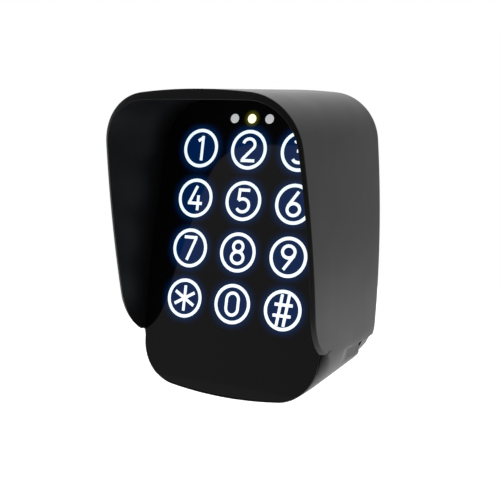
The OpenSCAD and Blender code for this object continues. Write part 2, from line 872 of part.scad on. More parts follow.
module wall_gasket() {
    color("#2a2a2a") slab(bracket_rear_y, 0) difference() {
        polygon(housing_outline(bracket_inset + 1));
        polygon(housing_outline(bracket_inset + 5));
    }
}

wall_gasket();
wall_bracket();
front_housing();
touch_panel();
panel_gasket();
touch_film();
key_windows();
key_diffuser();
indicator_lens_left();
indicator_lens_middle();
indicator_lens_right();
touch_board();
key_leds();
indicator_leds();
touch_controller();
reader_coil();
touch_board_screws();
ribbon_cable();
ribbon_socket_front();
ribbon_socket_rear();
main_board();
processor();
radio_module();
radio_antenna();
buzzer();
main_board_screws();
tamper_switch();
tamper_plunger();
tamper_spring();
back_cover();
cover_seal();
cover_screws();
hinge_pins();
battery_tray();
battery_upper();
battery_middle();
battery_lower();
battery_springs();
battery_plates();
battery_terminals();
battery_lid();
lock_screw();
lock_ring();
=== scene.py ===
# %% [markdown]
# # A hooded keypad, made as surfaces worked out with numbers
# The frame holds the keypad's CAD model: every board, screw and cell, in
# metres, with the wall as the plane y = 0 and the keys looking towards -Y.
# The lesson dresses it: the housing, the touch panel and its lights are made
# again as fine surfaces, and every other piece gets a finish of its own.

# %% Load the frame
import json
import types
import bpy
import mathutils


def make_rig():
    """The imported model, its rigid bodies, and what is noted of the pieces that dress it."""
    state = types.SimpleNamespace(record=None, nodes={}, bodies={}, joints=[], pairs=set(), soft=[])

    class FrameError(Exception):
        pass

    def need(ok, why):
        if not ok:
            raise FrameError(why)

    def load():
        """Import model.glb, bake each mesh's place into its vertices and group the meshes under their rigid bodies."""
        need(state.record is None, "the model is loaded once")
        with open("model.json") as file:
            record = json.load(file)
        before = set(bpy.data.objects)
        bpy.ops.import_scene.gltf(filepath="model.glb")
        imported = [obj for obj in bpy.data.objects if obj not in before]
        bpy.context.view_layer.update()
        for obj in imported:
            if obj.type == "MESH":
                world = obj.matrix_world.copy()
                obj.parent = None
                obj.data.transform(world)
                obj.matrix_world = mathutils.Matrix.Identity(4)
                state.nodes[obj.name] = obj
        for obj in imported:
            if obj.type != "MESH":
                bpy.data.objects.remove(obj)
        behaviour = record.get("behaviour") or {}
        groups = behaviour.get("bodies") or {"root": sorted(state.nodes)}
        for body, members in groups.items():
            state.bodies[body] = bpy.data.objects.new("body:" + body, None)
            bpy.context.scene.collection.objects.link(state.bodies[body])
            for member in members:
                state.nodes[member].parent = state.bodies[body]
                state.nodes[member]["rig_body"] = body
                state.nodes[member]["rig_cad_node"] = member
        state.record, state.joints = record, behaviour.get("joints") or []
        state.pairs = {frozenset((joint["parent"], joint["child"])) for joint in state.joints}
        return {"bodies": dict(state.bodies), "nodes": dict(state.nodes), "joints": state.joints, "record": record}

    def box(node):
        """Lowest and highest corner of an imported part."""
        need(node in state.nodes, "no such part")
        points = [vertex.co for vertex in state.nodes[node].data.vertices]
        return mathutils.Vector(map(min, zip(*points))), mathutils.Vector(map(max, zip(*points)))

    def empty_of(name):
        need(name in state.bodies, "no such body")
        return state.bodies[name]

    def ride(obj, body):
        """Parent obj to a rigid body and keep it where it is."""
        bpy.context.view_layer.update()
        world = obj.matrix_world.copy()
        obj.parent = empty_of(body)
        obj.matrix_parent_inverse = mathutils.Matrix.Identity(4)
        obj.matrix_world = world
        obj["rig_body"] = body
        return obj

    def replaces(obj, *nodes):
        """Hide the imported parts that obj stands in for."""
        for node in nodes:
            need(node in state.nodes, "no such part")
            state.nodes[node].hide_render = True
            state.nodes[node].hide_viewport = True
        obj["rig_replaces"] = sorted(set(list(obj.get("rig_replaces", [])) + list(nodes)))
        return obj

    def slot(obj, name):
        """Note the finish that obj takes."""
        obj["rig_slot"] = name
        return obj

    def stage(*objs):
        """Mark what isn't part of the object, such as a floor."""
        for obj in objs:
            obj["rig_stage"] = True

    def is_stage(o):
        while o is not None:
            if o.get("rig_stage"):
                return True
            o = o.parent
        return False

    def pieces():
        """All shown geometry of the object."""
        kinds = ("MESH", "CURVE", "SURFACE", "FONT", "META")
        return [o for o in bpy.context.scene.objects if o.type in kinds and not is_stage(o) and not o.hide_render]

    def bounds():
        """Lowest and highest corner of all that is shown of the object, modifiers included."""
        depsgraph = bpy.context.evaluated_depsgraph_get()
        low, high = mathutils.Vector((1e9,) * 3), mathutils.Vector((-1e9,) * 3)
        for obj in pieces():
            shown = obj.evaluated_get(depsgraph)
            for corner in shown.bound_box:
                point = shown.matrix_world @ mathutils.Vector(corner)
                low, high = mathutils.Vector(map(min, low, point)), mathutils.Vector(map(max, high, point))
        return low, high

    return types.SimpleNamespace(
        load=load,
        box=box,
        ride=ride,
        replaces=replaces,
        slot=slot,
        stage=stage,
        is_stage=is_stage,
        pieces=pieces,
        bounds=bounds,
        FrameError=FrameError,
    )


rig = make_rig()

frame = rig.load()
cad_box = [list(corner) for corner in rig.bounds()]

import json
import math
import bpy
import bmesh
import numpy as np

nodes = frame["nodes"]
print("CAD box in mm:", [[round(1000 * v, 1) for v in corner] for corner in cad_box])

# %% [markdown]
# ## Small helpers
# Three helpers serve every step. One turns a colour written as sRGB hex into
# the linear numbers that a shader wants. One adds a shader node with its
# settings and links in one call. One puts numpy points and faces into a mesh.

# %% Helpers for colours, nodes and meshes
MM = 0.001


def linear(hex_colour, alpha=1.0):
    """sRGB hex to linear RGBA: below 0.04045 a straight line, above it a power of 2.4."""
    c = np.array([int(hex_colour[i:i + 2], 16) for i in (1, 3, 5)]) / 255
    c = np.where(c <= 0.04045, c / 12.92, ((c + 0.055) / 1.055) ** 2.4)
    return (*[float(v) for v in c], alpha)


def add(tree, kind, inputs=None, **settings):
    """Adds one node. inputs maps a socket's name or number to a value or to an output."""
    node = tree.nodes.new(kind)
    for name, value in settings.items():
        setattr(node, name, value)
    for name, value in (inputs or {}).items():
        socket = node.inputs[name]
        if isinstance(value, bpy.types.NodeSocket):
            tree.links.new(value, socket)
        else:
            socket.default_value = value
    return node


def put_mesh(name, points, faces, sharp=30):
    """A mesh object from points in mm, with edges sharper than an angle kept crisp."""
    mesh = bpy.data.meshes.new(name)
    mesh.from_pydata((np.asarray(points) * MM).tolist(), [], faces)
    bm = bmesh.new()
    bm.from_mesh(mesh)
    bmesh.ops.remove_doubles(bm, verts=bm.verts, dist=2e-6)
    bmesh.ops.dissolve_degenerate(bm, edges=bm.edges, dist=1e-6)
    bmesh.ops.recalc_face_normals(bm, faces=bm.faces)
    bm.to_mesh(mesh)
    bm.free()
    mesh.shade_smooth()
    mesh.set_sharp_from_angle(angle=math.radians(sharp))
    piece = bpy.data.objects.new(name, mesh)
    bpy.context.scene.collection.objects.link(piece)
    print(name, len(mesh.vertices), "points", len(mesh.polygons), "faces")
    return piece


# %% [markdown]
# ## The camera
# The camera comes first, because every choice of detail follows from what it
# sees. It stands a little above and to the right of the keypad, 0.29 m away,
# and looks at a point inside the hood.

# %% Camera
CAMERA_TARGET = np.array([0.0, -31.4, -3.7]) * MM
CAMERA_AZIMUTH = math.radians(27.75)
CAMERA_ELEVATION = math.radians(10.3)
CAMERA_DISTANCE = 287 * MM
CAMERA_LENS = 61.7

camera_data = bpy.data.cameras.new("camera")
camera_data.lens = CAMERA_LENS
camera_data.sensor_width = 36
camera_data.clip_start = 0.01
camera = bpy.data.objects.new("camera", camera_data)
bpy.context.scene.collection.objects.link(camera)
towards = np.array([math.sin(CAMERA_AZIMUTH) * math.cos(CAMERA_ELEVATION),
                    -math.cos(CAMERA_AZIMUTH) * math.cos(CAMERA_ELEVATION),
                    math.sin(CAMERA_ELEVATION)])
camera.location = CAMERA_TARGET + CAMERA_DISTANCE * towards
camera.rotation_euler = (math.pi / 2 - CAMERA_ELEVATION, 0, CAMERA_AZIMUTH)
bpy.context.scene.camera = camera
bpy.context.scene.view_settings.view_transform = "Standard"
print("camera at", [round(v, 3) for v in camera.location])

# %% [markdown]
# ## Light and floor
# A dark glossy thing is lit by what it mirrors. A white tent stands round it
# on all sides but the front, where the tent is open and dim, so the sides
# and the edges come out soft grey while the glass-like panel stays black.
# The tent is a product of three gradients in the world shader: it dims from
# the back to the front, brightens towards straight up and down, and is
# brighter on the left than on the right. The floor is a pale disc well below,
# because the keypad hangs on a wall.

# %% World tent
world = bpy.data.worlds.new("white_tent")
world.use_nodes = True
bpy.context.scene.world = world
tree = world.node_tree
tree.nodes.clear()
direction = add(tree, "ShaderNodeTexCoord").outputs["Generated"]
ray = add(tree, "ShaderNodeSeparateXYZ", {0: direction}).outputs
frontness = add(tree, "ShaderNodeMath", {0: ray["Y"], 1: -1.0}, operation="MULTIPLY").outputs[0]
opening = add(tree, "ShaderNodeMapRange", {"Value": frontness, "From Min": -0.6, "From Max": 0.5,
                                           "To Min": 1.0, "To Max": 0.17},
              interpolation_type="SMOOTHSTEP").outputs[0]
steepness = add(tree, "ShaderNodeMath", {0: ray["Z"]}, operation="ABSOLUTE").outputs[0]
upright = add(tree, "ShaderNodeMapRange", {"Value": steepness, "From Min": 0.2, "From Max": 0.6,
                                           "To Min": 0.76, "To Max": 1.3},
              interpolation_type="SMOOTHSTEP").outputs[0]
sideways = add(tree, "ShaderNodeMapRange", {"Value": ray["X"], "From Min": -0.5, "From Max": 0.1,
                                            "To Min": 1.9, "To Max": 0.9}).outputs[0]
walls = add(tree, "ShaderNodeMath", {0: opening, 1: sideways}, operation="MULTIPLY").outputs[0]
glow = add(tree, "ShaderNodeMath", {0: walls, 1: upright}, operation="MULTIPLY").outputs[0]
tent = add(tree, "ShaderNodeBackground", {"Color": (1, 1, 1, 1), "Strength": glow}).outputs[0]
seen = add(tree, "ShaderNodeBackground", {"Color": (1, 1, 1, 1), "Strength": 1.0}).outputs[0]
is_camera = add(tree, "ShaderNodeLightPath").outputs["Is Camera Ray"]
mixed = add(tree, "ShaderNodeMixShader", {0: is_camera, 1: tent, 2: seen}).outputs[0]
add(tree, "ShaderNodeOutputWorld", {"Surface": mixed})

# %% Floor
FLOOR_DROP = 120
FLOOR_R = 450
FLOOR_Y = 230
FLOOR_SIDES = 96
floor_z = cad_box[0][2] / MM - FLOOR_DROP
around = np.linspace(0, 2 * math.pi, FLOOR_SIDES, endpoint=False)
floor_points = np.column_stack([FLOOR_R * np.cos(around), FLOOR_Y + FLOOR_R * np.sin(around),
                                np.full(FLOOR_SIDES, floor_z)])
floor = put_mesh("floor", floor_points, [list(range(FLOOR_SIDES))])
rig.stage(floor)
paper = bpy.data.materials.new("paper_white_seamless")
paper.use_nodes = True
tree = paper.node_tree
tree.nodes.clear()
fibres = add(tree, "ShaderNodeTexNoise", {"Vector": add(tree, "ShaderNodeTexCoord").outputs["Object"],
                                          "Scale": 800.0, "Detail": 3.0}).outputs["Fac"]
tone = add(tree, "ShaderNodeMapRange", {"Value": fibres, "To Min": 0.94, "To Max": 0.97}).outputs[0]
white = add(tree, "ShaderNodeCombineColor", {0: tone, 1: tone, 2: tone}).outputs[0]
sheet = add(tree, "ShaderNodeBsdfPrincipled", {"Base Color": white, "Roughness": 0.9,
                                               "Emission Color": (1, 1, 1, 1), "Emission Strength": 0.5})
add(tree, "ShaderNodeOutputMaterial", {"Surface": sheet.outputs[0]})
floor.data.materials.append(paper)

# %% [markdown]
# ## Sizes taken from the frame
# The housing's own box gives its width, height and depth. What a box can't
# say, such as the radius of a bowed side, is written down here once, in mm.

# %% Sizes
low, high = (np.array(c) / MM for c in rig.box("front_housing"))
HALF_W = high[0]
TOP_Z = high[2]
BOTTOM_Z = low[2]
REAR_Y = high[1]
WIDEST_Z = -3.5
CORNER_R = 17.2
SIDE_R = 447
TOP_R = 178
BOTTOM_R = 147
WALL = 1.9
HOOD_TOP_EXTRA = 1.25
PANEL_CORNER_R = 14.5
TILT = math.radians(13.3)
LEAN = math.tan(math.radians(8.3))
GRID_Z = 5.1
GRID_Y = -38.1
LIP_Y = -60.62
LIP_BEVEL = 0.76
LIP_WALL = 1.35
RIM_Z = -36.0
LOW_REAR_Y = -8.9
PANEL_T = 2.0
FRAME_FACE = 2.8
FRAME_BACK = 4.8
FOOT_R = 18.5
FOOT_Z = -31.0
print("housing", round(2 * HALF_W, 1), "x", round(TOP_Z - BOTTOM_Z, 1), "mm")

# %% [markdown]
# ## One outline for everything
# Seen from the front the keypad is four bowed edges joined by round corners.
# Each edge is an arc of a big circle, and a corner circle of radius r touches
# both edges inside when its centre is R - r away from each edge's centre. So
# the corner's centre is where two circles meet, and nothing is drawn by eye.

# %% Outline functions


def meet(a, ra, b, rb):
    """The right-hand point at distance ra from a and rb from b, by Pythagoras on the line ab."""
    d = np.linalg.norm(b - a)
    u = (b - a) / d
    k = (ra * ra - rb * rb + d * d) / (2 * d)
    h = math.sqrt(max(0.0, ra * ra - k * k))
    two = [a + u * k + sign * h * np.array([-u[1], u[0]]) for sign in (1, -1)]
    return max(two, key=lambda p: p[0])


def bowed(half_w, top, bottom, side_r, top_r, bottom_r, corner_top, corner_bottom, inset=0.0):
    """Right half of the outline, bottom middle to top middle, as five arcs end to end:
    point = centre + (radius - inset) * (cos angle, sin angle)."""
    cs = np.array([half_w - side_r, WIDEST_Z])
    ct = np.array([0.0, top - top_r])
    cb = np.array([0.0, bottom + bottom_r])
    kt = meet(cs, side_r - corner_top, ct, top_r - corner_top)
    kb = meet(cs, side_r - corner_bottom, cb, bottom_r - corner_bottom)
    bear = lambda c, p: math.atan2(p[1] - c[1], p[0] - c[0])
    arcs = ((cb, bottom_r, -math.pi / 2, bear(cb, kb), 16),
            (kb, corner_bottom, bear(cb, kb), bear(cs, kb), 26),
            (cs, side_r, bear(cs, kb), bear(cs, kt), 30),
            (kt, corner_top, bear(cs, kt), bear(ct, kt), 26),
            (ct, top_r, bear(ct, kt), math.pi / 2, 16))
    pieces = []
    for centre, radius, start, end, steps in arcs:
        turn = np.linspace(start, end, steps + 1)[:-1]
        pieces.append(centre + (radius - inset) * np.column_stack([np.cos(turn), np.sin(turn)]))
    return np.vstack(pieces + [[[0.0, top - inset]]])


def round_both_sides(half):
    """Mirrors a right half, without its two middle points, into a closed outline."""
    return np.vstack([half, half[-2:0:-1] * [-1, 1]])


def housing_half(inset=0.0):
    """Half of the housing's outline, moved inwards by inset."""
    return bowed(HALF_W, TOP_Z, BOTTOM_Z, SIDE_R, TOP_R, BOTTOM_R, CORNER_R, CORNER_R, inset)


def mouth_half(inset=0.0):
    """Half of the mouth's outline: a wall in from the side and the top, HOOD_TOP_EXTRA lower
    still at the top, and down to BOTTOM_Z."""
    return bowed(HALF_W - WALL, TOP_Z - WALL - HOOD_TOP_EXTRA, BOTTOM_Z, SIDE_R - WALL,
                 8 * TOP_R, BOTTOM_R, PANEL_CORNER_R, PANEL_CORNER_R, inset)


def lip_half():
    """Inner edge of the lip: the hood's wall thins towards it, so the sides stand further out."""
    return bowed(HALF_W - LIP_WALL, TOP_Z - WALL - HOOD_TOP_EXTRA, BOTTOM_Z, SIDE_R - LIP_WALL,
                 8 * TOP_R, BOTTOM_R, PANEL_CORNER_R + 0.6, PANEL_CORNER_R, 0.0)


def panel_y(z, depth=0.0):
    """y of the tilted panel's plane: y = y0 + (z - z0) tan(tilt) + depth / cos(tilt)."""
    return GRID_Y + (z - GRID_Z) * math.tan(TILT) + depth / math.cos(TILT)


print("outline of", len(round_both_sides(housing_half())), "points")

# %% [markdown]
# ## The edge of the hood
# Seen from the side the hood's edge is a leaning straight line that bends on
# an arc and runs out on the panel. For a height z the arc gives
# y = centre_y - sqrt(R^2 - (z - centre_z)^2), which is one formula for the
# whole edge once the straight part takes over above the tangent point.

# %% Edge of the hood
lean_angle = math.atan(LEAN)
edge_line = lambda z, lip: lip - (z - GRID_Z) * LEAN
OUTER_LIP_Y = LIP_Y + LIP_BEVEL


def hood_edge(z, lip, end_z):
    """y of the edge at height z: a line of slope LEAN, then an arc of FOOT_R tangent to it
    that reaches the panel's plane at end_z."""
    out = np.array([math.cos(lean_angle), math.sin(lean_angle)])
    reach = (panel_y(end_z) - edge_line(end_z, lip)) * out[0]
    turn = math.acos(1 - reach / FOOT_R)
    start_z = end_z - reach * out[1] + FOOT_R * math.sin(turn) * out[0]
    centre = np.array([edge_line(start_z, lip), start_z]) + FOOT_R * out
    drop = np.clip(FOOT_R ** 2 - (z - centre[1]) ** 2, 0, None)
    return np.where(z > start_z, edge_line(z, lip), centre[0] - np.sqrt(drop))


print("edge at the widest level", round(float(hood_edge(np.array(WIDEST_Z), OUTER_LIP_Y, FOOT_Z)), 1))

# %% [markdown]
# ## The housing
# A moulded shell could be modelled from a box with bevels, but here the whole
# skin is one closed band. At every point of the outline a path runs from the
# rear edge forward over the outside, round the lip, down inside the hood to
# the panel, behind it through the window of the front frame, and back along
# the inner wall. Each corner of that path is rounded by a short curve, as a
# mould's edges are, so the light catches them.

# %% Stations round the housing
outer = round_both_sides(housing_half())
FOOT_STEP = 0.35
FOOT_HAIR = 0.02


def beside(outline, points, steps=24):
    """For every point of a round the nearest point of another outline, which is straight across
    the wall between them: the least distance to the outline's edges cut into short steps."""
    loop = np.vstack([outline, outline[:1]])
    turn = np.linspace(0, len(outline), len(outline) * steps, endpoint=False)
    fine = np.column_stack([np.interp(turn, np.arange(len(loop)), loop[:, i]) for i in (0, 1)])
    distance = np.linalg.norm(points[:, None, :] - fine[None, :, :], axis=2)
    return fine[distance.argmin(axis=1)]


def add_foot_stations(outline):
    """Puts two extra stations on each side where the hood ends, one just above FOOT_Z and one
    just below, by linear steps between the outline's points."""
    z = outline[:, 1]
    z_next = np.roll(z, -1)
    turn = np.arange(len(z) + 1, dtype=float)
    extra = []
    for level in (FOOT_Z + FOOT_HAIR, FOOT_Z - FOOT_STEP):
        k = np.flatnonzero((z - level) * (z_next - level) < 0)
        extra.append(k + (level - z[k]) / (z_next[k] - z[k]))
    stations = np.sort(np.concatenate([turn[:-1], *extra]))
    loop = np.vstack([outline, outline[:1]])
    return np.column_stack([np.interp(stations, turn, loop[:, i]) for i in (0, 1)])


outer = add_foot_stations(outer)
mouth, inner, lip = (beside(round_both_sides(half), outer)
                     for half in (mouth_half(), housing_half(WALL), lip_half()))
z_out = outer[:, 1]
in_hood = z_out >= FOOT_Z
count = len(outer)
print(int(in_hood.sum()), "stations in the hood,", int((~in_hood).sum()), "below it")

# %% Rounded paths


def rounded(path, radii, steps=4):
    """Rounds the corners of many paths at once. path is stations x corners x 3. Each corner
    becomes a quadratic curve between points radius away along its two legs, so
    p(t) = (1-t)^2 a + 2t(1-t) corner + t^2 b, and legs shorter than the curve shrink it."""
    rows = []
    for k in range(path.shape[1]):
        corner = path[:, k]
        back = path[:, k - 1] - corner
        ahead = path[:, (k + 1) % path.shape[1]] - corner
        if radii[k] <= 0:
            rows.append(corner)
            continue
        legs = []
        for leg in (back, ahead):
            length = np.linalg.norm(leg, axis=1, keepdims=True)
            legs.append(leg * np.minimum(radii[k] / np.maximum(length, 1e-6), 0.42))
        for t in np.linspace(0, 1, steps):
            rows.append(corner + (1 - t) ** 2 * legs[0] + t ** 2 * legs[1])
    return np.stack(rows, axis=1)


def band_faces(stations, rows, close_rows=True):
    """Quads between neighbouring stations and rows of a grid that closes on itself."""
    u = np.arange(stations)[:, None]
    v = np.arange(rows if close_rows else rows - 1)[None, :]
    u1, v1 = (u + 1) % stations, (v + 1) % rows
    return np.stack([u * rows + v, u1 * rows + v, u1 * rows + v1, u * rows + v1],
                    axis=-1).reshape(-1, 4).tolist()


def at(outline, y):
    """Points of an x-z outline at depth y."""
    return np.column_stack([outline[:, 0], np.broadcast_to(y, len(outline)), outline[:, 1]])


# %% [markdown]
# ## Flare and finger grips
# Two things shape the outside. Below the hood the skin flares from the edge
# of the touch panel out to the full width: each station slides from the mouth's
# outline to the outer one as it goes back. At each lower rear corner a finger
# grip is pressed in: a wall whose half width narrows towards the rear. It dents
# the skin only where the corner stands outside it, by GRIP_DEPTH at most, and
# only below a level that falls towards the rear.

# %% Outside of the housing, with its flare and its finger grips
FLARE_L = 9.0
FLARE_MIN = 1.0
FLARE_FALL = 10.0
FLARE_STEP = 0.3
HOOD_ROWS_L = 6.0
LEAST_RUN = 0.5
GRIP_FRONT_Y = -31.5
GRIP_REAR_Y = LOW_REAR_Y - 0.01
GRIP_TOP_Z = [-33.6, -35.6]
GRIP_HALF_W = [32.4, 31.0]
GRIP_DEPTH = 1.8
GRIP_TOP_SOFT = 1.2
GRIP_FRONT_SHARPNESS = 2.4


def smooth(t):
    """Smooth step: 3t^2 - 2t^3 between 0 and 1."""
    t = np.clip(t, 0, 1)
    return t * t * (3 - 2 * t)


def ease_out(t):
    """1 - (1 - t)^2 between 0 and 1: steep at the start, level at the end."""
    return 1 - (1 - np.clip(t, 0, 1)) ** 2


rear_y = np.where(z_out > RIM_Z, REAR_Y, LOW_REAR_Y)
front_y = np.where(in_hood, hood_edge(z_out, OUTER_LIP_Y, FOOT_Z),
                   panel_y(mouth[:, 1], FLARE_STEP))
below_foot = np.clip(FOOT_Z - z_out, 0, None)
flare_l = FLARE_MIN + (FLARE_L - FLARE_MIN) * ease_out(below_foot / FLARE_FALL)


def skin_rows():
    """Depths of the outside's rows, rear to front: even steps to the grip's rear edge, through
    the grip, on to where the flare starts, and through the flare."""
    parts = [np.linspace(0, 1, n, endpoint=False) for n in (4, 20, 10, 16)]
    flare_start = np.where(in_hood, front_y + HOOD_ROWS_L, front_y + flare_l)
    stops = np.stack([rear_y, np.minimum(rear_y, GRIP_REAR_Y), np.full(count, GRIP_FRONT_Y),
                      np.maximum(flare_start, front_y + LEAST_RUN), front_y], axis=1)
    stops = np.minimum.accumulate(stops, axis=1)
    rows = [stops[:, [k]] + (stops[:, [k + 1]] - stops[:, [k]]) * part[None, :]
            for k, part in enumerate(parts)]
    return np.hstack(rows + [front_y[:, None]])


ys = skin_rows()
flare = np.where(in_hood[:, None], 0.0,
                 1 - ease_out((ys - front_y[:, None]) / flare_l[:, None]))
skin_xz = outer[:, None, :] + flare[:, :, None] * (mouth - outer)[:, None, :]

along = (ys - GRIP_FRONT_Y) / (LOW_REAR_Y - GRIP_FRONT_Y)
wall_of_grip = np.interp(along, [0, 1], GRIP_HALF_W)
dent = np.clip(np.abs(outer[:, :1]) - wall_of_grip, 0, GRIP_DEPTH)
top_of_grip = np.interp(along, [0, 1], GRIP_TOP_Z)
dent = dent * smooth((top_of_grip - z_out[:, None]) / GRIP_TOP_SOFT)
dent = dent * smooth(along * GRIP_FRONT_SHARPNESS)
towards_middle = inner - outer
towards_middle[:, 1] = 0
towards_middle /= np.maximum(np.abs(towards_middle[:, :1]), 1e-6)
skin_xz = skin_xz + dent[:, :, None] * towards_middle[:, None, :]
skin = np.stack([skin_xz[:, :, 0], ys, skin_xz[:, :, 1]], axis=2)
print("outside", skin.shape)

# %% Lip, hood, front frame and inner wall
WINDOW_HALF_W = 26.0
WINDOW_HALF_H = 37.5
WINDOW_MID = 3.0
LIP_FOOT_DROP = 0.8
MOUTH_SEAT = 0.06
HAIR = 0.02
window_xs = mouth - [0, GRID_Z]
scale = np.maximum(np.abs(window_xs[:, 0]) / WINDOW_HALF_W,
                   np.abs(window_xs[:, 1] - WINDOW_MID) / WINDOW_HALF_H)
window = window_xs / scale[:, None] + [0, GRID_Z]
window_mid_z = GRID_Z + WINDOW_MID
window[:, 1] = np.clip(window[:, 1], window_mid_z - WINDOW_HALF_H, window_mid_z + WINDOW_HALF_H)

lip = np.where(in_hood[:, None], lip, mouth)
lip_in_y = np.where(in_hood, np.minimum(hood_edge(lip[:, 1], LIP_Y, FOOT_Z - LIP_FOOT_DROP),
                                        panel_y(lip[:, 1], -HAIR)),
                    panel_y(mouth[:, 1], PANEL_T + MOUTH_SEAT))
corners = np.stack([
    at(outer, front_y) * in_hood[:, None] + at(mouth, front_y) * (~in_hood)[:, None],
    at(lip, lip_in_y),
    at(mouth, panel_y(mouth[:, 1], FRAME_FACE)),
    at(window, panel_y(window[:, 1], FRAME_FACE)),
    at(window, panel_y(window[:, 1], FRAME_BACK)),
    at(inner, panel_y(inner[:, 1], FRAME_BACK)),
    at(inner, rear_y - HAIR),
    at(outer + dent[:, :1] * towards_middle, rear_y),
], axis=1)
CORNER_RADII = [0.22, 0.3, 0, 0, 0, 0.4, 0.15, 0.25]
path = rounded(corners, CORNER_RADII)
section = np.concatenate([skin[:, 1:-1], path], axis=1)
housing_points = section.reshape(-1, 3)
housing_faces = band_faces(count, section.shape[1])
housing = put_mesh("housing_shell", housing_points, housing_faces, sharp=28)
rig.ride(housing, "reader")
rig.replaces(housing, "front_housing")
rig.slot(housing, "housing_plastic")

# %% [markdown]
# ## Inside the housing
# A shelf closes the sealed space above the lock pocket, and a boss under it
# carries the lock screw. Both are flat or round bodies, so each is an outline
# pushed along one direction, with a cap at either end.

# %% Shelf and lock boss


def prism(name, outline_a, outline_b, sharp=30):
    """A closed body between two outlines of the same number of points: rings joined by quads,
    with one flat face at each end."""
    n = len(outline_a)
    k = np.arange(n)
    sides = np.stack([k, (k + 1) % n, (k + 1) % n + n, k + n], axis=1).tolist()
    caps = [list(range(n - 1, -1, -1)), list(range(n, 2 * n))]
    return put_mesh(name, np.vstack([outline_a, outline_b]), sides + caps, sharp)


SHELF_Z = -39.4
SHELF_T = 1.5
SHELF_REAR_Y = -13.3
SHELF_FRONT_Y = panel_y(SHELF_Z + SHELF_T, FRAME_BACK)
shelf_half_w = float(np.interp(SHELF_Z, housing_half(WALL)[:60, 1], housing_half(WALL)[:60, 0]))
shelf_plan = np.array([[-shelf_half_w, SHELF_FRONT_Y], [shelf_half_w, SHELF_FRONT_Y],
                       [shelf_half_w, SHELF_REAR_Y], [-shelf_half_w, SHELF_REAR_Y]])
shelf = prism("housing_shelf", *[np.column_stack([shelf_plan, np.full(4, z)])
                                 for z in (SHELF_Z, SHELF_Z + SHELF_T)])
LOCK_Y = -13.4
LOCK_BOSS_R = 4.2
LOCK_BORE_R = 2.75
lock_boss_z = [BOTTOM_Z + 1.5, BOTTOM_Z + 6.25]
TURN_STEPS = 48
around = np.linspace(0, 2 * math.pi, TURN_STEPS, endpoint=False)
circle = lambda r: np.column_stack([r * np.cos(around), LOCK_Y + r * np.sin(around)])
boss_rings = [(LOCK_BOSS_R, lock_boss_z[0]), (LOCK_BOSS_R, lock_boss_z[1]),
              (LOCK_BORE_R, lock_boss_z[1]), (LOCK_BORE_R, lock_boss_z[0])]
boss_points = np.stack([np.column_stack([circle(r), np.full(TURN_STEPS, z)])
                        for r, z in boss_rings], axis=1)
lock_boss = put_mesh("housing_lock_boss", boss_points.reshape(-1, 3),
                     band_faces(TURN_STEPS, len(boss_rings)))
for piece in (shelf, lock_boss):
    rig.ride(piece, "reader")
    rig.slot(piece, "housing_plastic")

# %% [markdown]
# ## The touch panel
# The real panel is a black acrylic sheet, cut to the mouth of the hood and
# polished at its edge. Its outline is carried from the back to the front with
# a small bevel on the way. The chin, a narrow facet along the bottom, comes
# from cutting the front along a level line and tipping what lies below it.

# %% Touch panel
PANEL_GAP = 0.1
PANEL_BEVEL = 0.2
CHIN_LINE = -51.7
CHIN_SLOPE = math.tan(math.radians(12))


def panel_frame(points):
    """Points in mm as x, distance s up the panel and height w out of its face."""
    y, z = points[:, 1] - GRID_Y, points[:, 2] - GRID_Z
    return np.column_stack([points[:, 0], y * math.sin(TILT) + z * math.cos(TILT),
                            -y * math.cos(TILT) + z * math.sin(TILT)])


def from_panel(u, s, w):
    """The reverse: a point u across, s up and w out of the panel's face, in x, y, z."""
    u, s, w = np.broadcast_arrays(u, s, w)
    return np.stack([u, GRID_Y + s * math.sin(TILT) - w * math.cos(TILT),
                     GRID_Z + s * math.cos(TILT) + w * math.sin(TILT)], axis=-1)


def panel_ring(inset, w):
    """The mouth's outline, inset, as it lies on the panel at height w."""
    ring = round_both_sides(mouth_half(inset))
    return at(ring, panel_y(ring[:, 1], -w))


edge_profile = [(PANEL_GAP, -PANEL_T), (PANEL_GAP, -PANEL_BEVEL),
                (PANEL_GAP + 0.3 * PANEL_BEVEL, -0.3 * PANEL_BEVEL), (PANEL_GAP + PANEL_BEVEL, 0.0)]
rings = [panel_ring(*step) for step in edge_profile]
n_ring = len(rings[0])
k = np.arange(n_ring)
faces = [q for r in range(len(rings) - 1)
         for q in np.stack([k + r * n_ring, (k + 1) % n_ring + r * n_ring,
                            (k + 1) % n_ring + (r + 1) * n_ring, k + (r + 1) * n_ring], axis=1).tolist()]
faces += [list(range(n_ring))[::-1], list(range(3 * n_ring, 4 * n_ring))]
panel = put_mesh("touch_panel_sheet", np.vstack(rings), faces)
bm = bmesh.new()
bm.from_mesh(panel.data)
chin_point = from_panel(0, CHIN_LINE, 0) * MM
chin_normal = (0, math.sin(TILT), math.cos(TILT))
bmesh.ops.bisect_plane(bm, geom=bm.verts[:] + bm.edges[:] + bm.faces[:], plane_co=chin_point,
                       plane_no=chin_normal, dist=1e-6)
bm.to_mesh(panel.data)
bm.free()
points = np.empty(len(panel.data.vertices) * 3)
panel.data.vertices.foreach_get("co", points)
points = points.reshape(-1, 3) / MM
local = panel_frame(points)
near_face = local[:, 2] > -PANEL_BEVEL - 0.05
drop = np.clip(CHIN_LINE - local[:, 1], 0, None) * CHIN_SLOPE * near_face
points[:, 1] += drop / math.cos(TILT)
panel.data.vertices.foreach_set("co", (points * MM).ravel())
panel.data.shade_smooth()
panel.data.set_sharp_from_angle(angle=math.radians(12))
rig.ride(panel, "reader")
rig.replaces(panel, "touch_panel")
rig.slot(panel, "panel_gloss")
print("chin facet", round(float(drop.max()), 2), "mm deep")

